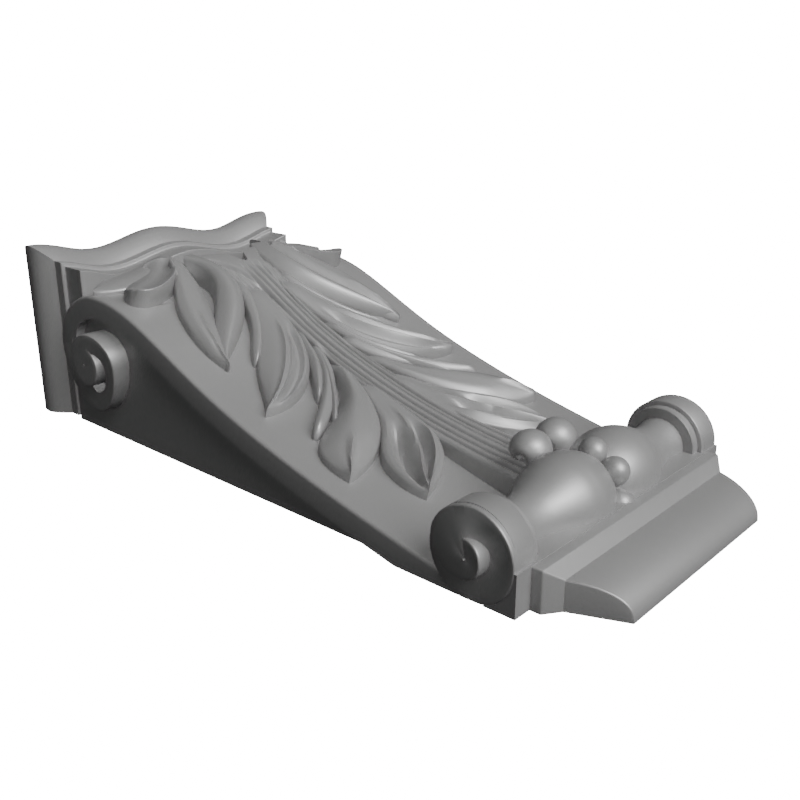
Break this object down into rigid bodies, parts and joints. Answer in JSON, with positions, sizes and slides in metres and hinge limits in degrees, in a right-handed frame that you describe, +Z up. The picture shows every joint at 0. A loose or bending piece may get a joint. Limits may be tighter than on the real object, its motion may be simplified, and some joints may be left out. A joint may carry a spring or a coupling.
{
  "type": "carved bracket",
  "caption": "Carved corbel with side scrolls, an acanthus leaf down its S-curved front, a turned roll at the foot and a waved crown.",
  "frame": {"origin": "on the flat back that meets the wall, midway across and at half of the bracket's height", "axes": "+Z up as it hangs, -Y out from the wall towards the carved front, X across"},
  "size_m": [0.1628, 0.0881, 0.338],
  "materials": {
    "carved_bracket": "smooth mid-grey primer with a satin sheen over carved wood"
  },
  "bodies": {
    "root": {"carved_bracket": "carved_bracket"}
  },
  "joints": []
}
